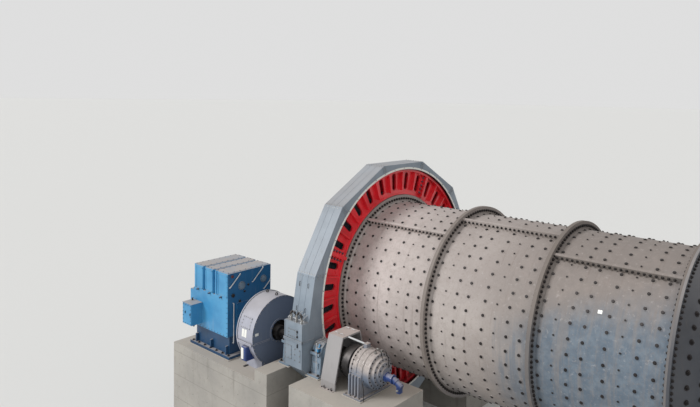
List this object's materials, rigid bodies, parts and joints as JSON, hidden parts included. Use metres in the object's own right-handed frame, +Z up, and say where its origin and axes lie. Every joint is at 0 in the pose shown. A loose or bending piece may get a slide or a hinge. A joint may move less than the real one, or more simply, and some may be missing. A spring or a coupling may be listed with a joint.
{
  "type": "ball mill",
  "caption": "Horizontal overflow ball mill: bolted flanged shell, red ring gear in a polygonal guard, pinion drives with blue motors and clutches, bearings and piers.",
  "frame": {"origin": "ground level under the centre of the gear-end main bearing, on the foot of its pier", "axes": "+Z up, +X along the mill axis from the gear end to the outer end, -Y to the side with the inching drive"},
  "size_m": [26.3, 15.935, 14.5501],
  "materials": {
    "concrete": "dusty cast concrete",
    "bearing_paint": "dusty blue-grey paint",
    "seal_strip": "white rubber seal",
    "guard_paint": "dusty light blue-grey paint",
    "motor_blue": "gloss blue paint with dust on top",
    "motor_dark_blue": "dark blue paint",
    "clutch_guard_paint": "grey paint, dusty",
    "coupling_guard_paint": "pale grey paint, dusty",
    "gearbox_paint": "grey paint under beige dust",
    "small_motor_blue": "blue paint",
    "shell_paint": "pale grey paint under settled dust",
    "head_paint": "dark grey paint",
    "machined_steel": "machined and oiled",
    "gear_red": "gloss red paint",
    "dark_steel": "oiled dark steel"
  },
  "bodies": {
    "plant": {"gear_end_pier": "concrete", "outer_end_pier": "concrete", "guard_plinth": "concrete", "near_drive_block": "concrete", "far_drive_block": "concrete", "gear_end_bearing_base": "bearing_paint", "gear_end_bearing_cap": "bearing_paint", "outer_end_bearing_base": "bearing_paint", "outer_end_bearing_cap": "bearing_paint", "guard_upper_near": "guard_paint", "guard_upper_far": "guard_paint", "guard_lower_near": "guard_paint", "guard_lower_far": "guard_paint", "guard_seal": "seal_strip", "near_motor_housing": "motor_blue", "near_motor_base": "motor_dark_blue", "near_terminal_box": "motor_blue", "near_clutch_guard": "clutch_guard_paint", "near_pinion_bearings": "bearing_paint", "near_coupling_guard": "coupling_guard_paint", "inching_gearbox": "gearbox_paint", "inching_motor": "small_motor_blue", "far_motor_housing": "motor_blue", "far_motor_base": "motor_dark_blue", "far_terminal_box": "motor_blue", "far_clutch_guard": "clutch_guard_paint", "far_pinion_bearings": "bearing_paint"},
    "drum": {"shell_a_upper": "shell_paint", "shell_a_lower": "shell_paint", "shell_b_upper": "shell_paint", "shell_b_lower": "shell_paint", "shell_c_upper": "shell_paint", "shell_c_lower": "shell_paint", "gear_end_head": "head_paint", "outer_end_head": "head_paint", "gear_end_trunnion": "machined_steel", "outer_end_trunnion": "machined_steel", "ring_gear_q1": "gear_red", "ring_gear_q2": "gear_red", "ring_gear_q3": "gear_red", "ring_gear_q4": "gear_red"},
    "near_pinion_shaft": {"near_pinion": "dark_steel", "near_clutch": "dark_steel"},
    "far_pinion_shaft": {"far_pinion": "dark_steel", "far_clutch": "dark_steel"}
  },
  "joints": [
    {"name": "drum_spin", "type": "hinge", "parent": "plant", "child": "drum", "pos_m": [0, 0, 8.5], "axis": [1, 0, 0], "continuous": true},
    {"name": "near_pinion_spin", "type": "hinge", "parent": "plant", "child": "near_pinion_shaft", "pos_m": [0, -6.0175, 6.77451], "axis": [1, 0, 0], "continuous": true},
    {"name": "far_pinion_spin", "type": "hinge", "parent": "plant", "child": "far_pinion_shaft", "pos_m": [0, 6.0175, 6.77451], "axis": [1, 0, 0], "continuous": true}
  ],
  "couplings": [
    {"joint": "near_pinion_spin", "follows": "drum_spin", "ratio": -13.905},
    {"joint": "far_pinion_spin", "follows": "drum_spin", "ratio": -13.905}
  ]
}
